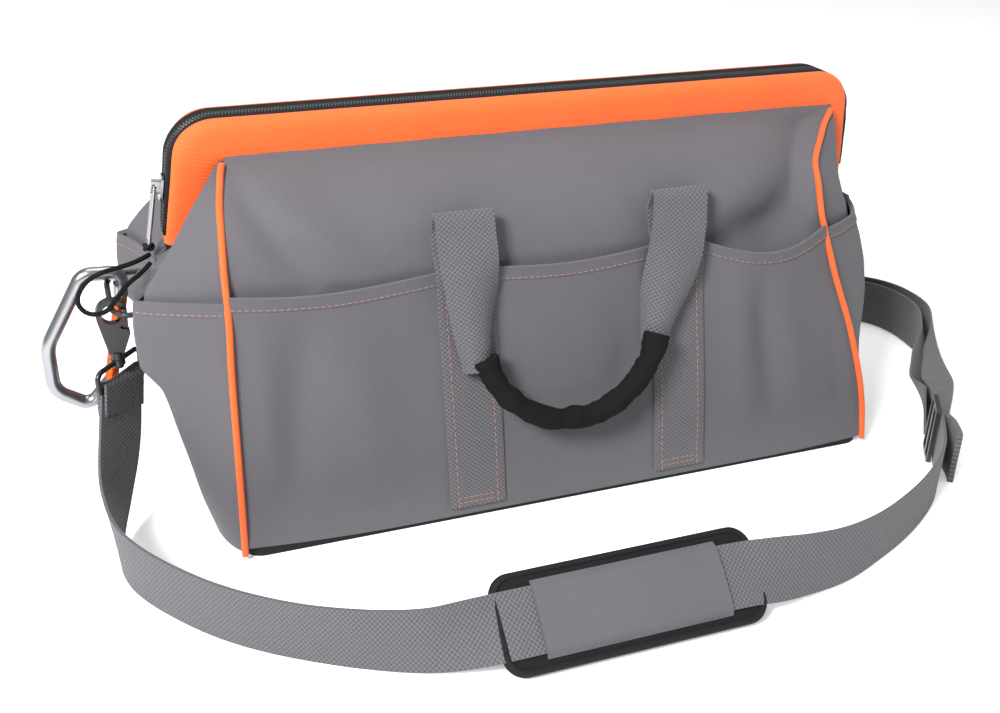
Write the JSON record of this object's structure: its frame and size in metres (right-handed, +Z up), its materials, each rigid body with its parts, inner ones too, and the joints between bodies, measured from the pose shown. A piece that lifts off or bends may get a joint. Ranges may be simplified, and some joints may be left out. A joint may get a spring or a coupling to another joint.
{
  "type": "garden tool bag",
  "caption": "Soft-sided tool bag with a wire-framed zipped gate mouth, pleated end walls, outer pockets, carry handles, carabiner and padded shoulder strap on snap hooks.",
  "frame": {"origin": "middle of the base, on the surface the bag stands on", "axes": "+X along the bag towards its right end, +Y towards its back, +Z up"},
  "size_m": [0.7042, 0.3927, 0.2528],
  "materials": {
    "cloth_grey": "coated woven polyester, mid grey",
    "webbing_orange": "ribbed orange webbing",
    "piping_orange": "orange piping over a cord",
    "webbing_grey": "grey woven webbing with orange stitching",
    "strap_grey": "grey woven shoulder webbing",
    "zip_tape": "black woven zip tape",
    "zip_coil": "black nylon coil",
    "base_black": "black textured base",
    "grip_black": "black felt-like wrapped grip",
    "foam_black": "black closed-cell foam",
    "sleeve_grey": "grey cloth sleeve, plain",
    "steel_black": "black painted steel wire",
    "steel_frame": "black painted spring steel",
    "zip_chrome": "bright nickel plate",
    "cord_black": "black braided cord",
    "carabiner_metal": "polished aluminium",
    "gate_orange": "orange anodised",
    "plastic_black": "black moulded plastic"
  },
  "bodies": {
    "body": {"base_tray": "base_black", "base_board": "base_black", "front_panel": "cloth_grey", "back_panel": "cloth_grey", "front_pocket": "cloth_grey", "back_pocket": "cloth_grey", "front_webbing": "webbing_grey", "back_webbing": "webbing_grey", "left_gusset": "cloth_grey", "right_gusset": "cloth_grey", "left_end_pocket": "cloth_grey", "right_end_pocket": "cloth_grey", "corner_piping": "piping_orange", "hinge_rivets": "steel_frame", "left_ring_tab": "webbing_grey", "right_ring_tab": "webbing_grey", "left_strap_loop": "steel_black", "right_strap_loop": "steel_black", "strap_left_drop": "strap_grey", "strap_front_left": "strap_grey", "strap_in_pad": "strap_grey", "strap_front_right": "strap_grey", "strap_return": "strap_grey", "strap_right_rise": "strap_grey", "strap_adjuster": "plastic_black", "strap_tail": "strap_grey"},
    "front_mouth": {"front_frame": "steel_frame", "front_band": "webbing_orange", "front_zip_tape": "zip_tape", "front_zip_teeth": "zip_coil", "front_top_panel": "cloth_grey"},
    "back_mouth": {"back_frame": "steel_frame", "back_band": "webbing_orange", "back_zip_tape": "zip_tape", "back_zip_teeth": "zip_coil", "back_top_panel": "cloth_grey"},
    "slider": {"zip_slider": "zip_chrome"},
    "pull": {"zip_pull": "zip_chrome", "zip_knot": "cord_black", "zip_cord": "cord_black"},
    "front_handle": {"front_handle_webbing": "webbing_grey", "front_handle_grip": "grip_black"},
    "back_handle": {"back_handle_webbing": "webbing_grey", "back_handle_grip": "grip_black"},
    "left_ring": {"left_d_ring": "steel_black"},
    "right_ring": {"right_d_ring": "steel_black"},
    "left_snap": {"left_hook": "steel_black"},
    "left_latch": {"left_thumb_gate": "steel_black"},
    "right_snap": {"right_hook": "steel_black"},
    "right_latch": {"right_thumb_gate": "steel_black"},
    "carabiner": {"carabiner_body": "carabiner_metal", "carabiner_rivet": "carabiner_metal"},
    "gate": {"carabiner_gate": "gate_orange"},
    "strap_pad": {"pad_foam": "foam_black", "pad_sleeve": "sleeve_grey"}
  },
  "joints": [
    {"name": "front_mouth_hinge", "type": "hinge", "parent": "body", "child": "front_mouth", "pos_m": [0, 0, 0.155], "axis": [1, 0, 0], "range_deg": [0, 40]},
    {"name": "back_mouth_hinge", "type": "hinge", "parent": "body", "child": "back_mouth", "pos_m": [0, 0, 0.155], "axis": [-1, 0, 0], "range_deg": [0, 40]},
    {"name": "zip_slide", "type": "slide", "parent": "back_mouth", "child": "slider", "axis": [0.1835, 0, 0.983], "range_m": [0, 0.014]},
    {"name": "pull_swing", "type": "hinge", "parent": "slider", "child": "pull", "pos_m": [-0.24902, 0, 0.21028], "axis": [0, 1, 0], "range_deg": [0, 110]},
    {"name": "front_handle_swing", "type": "hinge", "parent": "body", "child": "front_handle", "pos_m": [0, -0.0725, 0.1975], "axis": [1, 0, 0], "range_deg": [-150, 0]},
    {"name": "back_handle_swing", "type": "hinge", "parent": "body", "child": "back_handle", "pos_m": [0, 0.0725, 0.1975], "axis": [-1, 0, 0], "range_deg": [-150, 0]},
    {"name": "left_ring_swing", "type": "hinge", "parent": "body", "child": "left_ring", "pos_m": [-0.2609, 0, 0.1415], "axis": [0, 0.9681, 0.2504], "range_deg": [-8, 0]},
    {"name": "right_ring_swing", "type": "hinge", "parent": "body", "child": "right_ring", "pos_m": [0.261, 0.013, 0.141], "axis": [0, 1, 0], "range_deg": [-3, 6]},
    {"name": "left_snap_swivel", "type": "hinge", "parent": "body", "child": "left_snap", "pos_m": [-0.2839, -0.012, 0.1349], "axis": [0, 0, 1], "range_deg": [-10, 10]},
    {"name": "left_latch_pin", "type": "hinge", "parent": "left_snap", "child": "left_latch", "pos_m": [-0.2768, -0.012, 0.1233], "axis": [0, 1, 0], "range_deg": [-16, 0], "stiffness_Nm_per_rad": 0.01},
    {"name": "right_snap_swivel", "type": "hinge", "parent": "body", "child": "right_snap", "pos_m": [0.2666, 0.013, 0.1162], "axis": [0, 0, 1], "range_deg": [-10, 10]},
    {"name": "right_latch_pin", "type": "hinge", "parent": "right_snap", "child": "right_latch", "pos_m": [0.2737, 0.013, 0.1046], "axis": [0, 1, 0], "range_deg": [-16, 0], "stiffness_Nm_per_rad": 0.01},
    {"name": "carabiner_swing", "type": "hinge", "parent": "left_ring", "child": "carabiner", "pos_m": [-0.2839, 0.012, 0.1446], "axis": [0, 1, 0], "range_deg": [-6, 60]},
    {"name": "gate_pin", "type": "hinge", "parent": "carabiner", "child": "gate", "pos_m": [-0.289, 0.012, 0.077], "axis": [0, 1, 0], "range_deg": [-20, 0], "stiffness_Nm_per_rad": 0.02},
    {"name": "pad_slide", "type": "slide", "parent": "body", "child": "strap_pad", "axis": [1, 0, 0], "range_m": [-0.008, 0.008]}
  ]
}
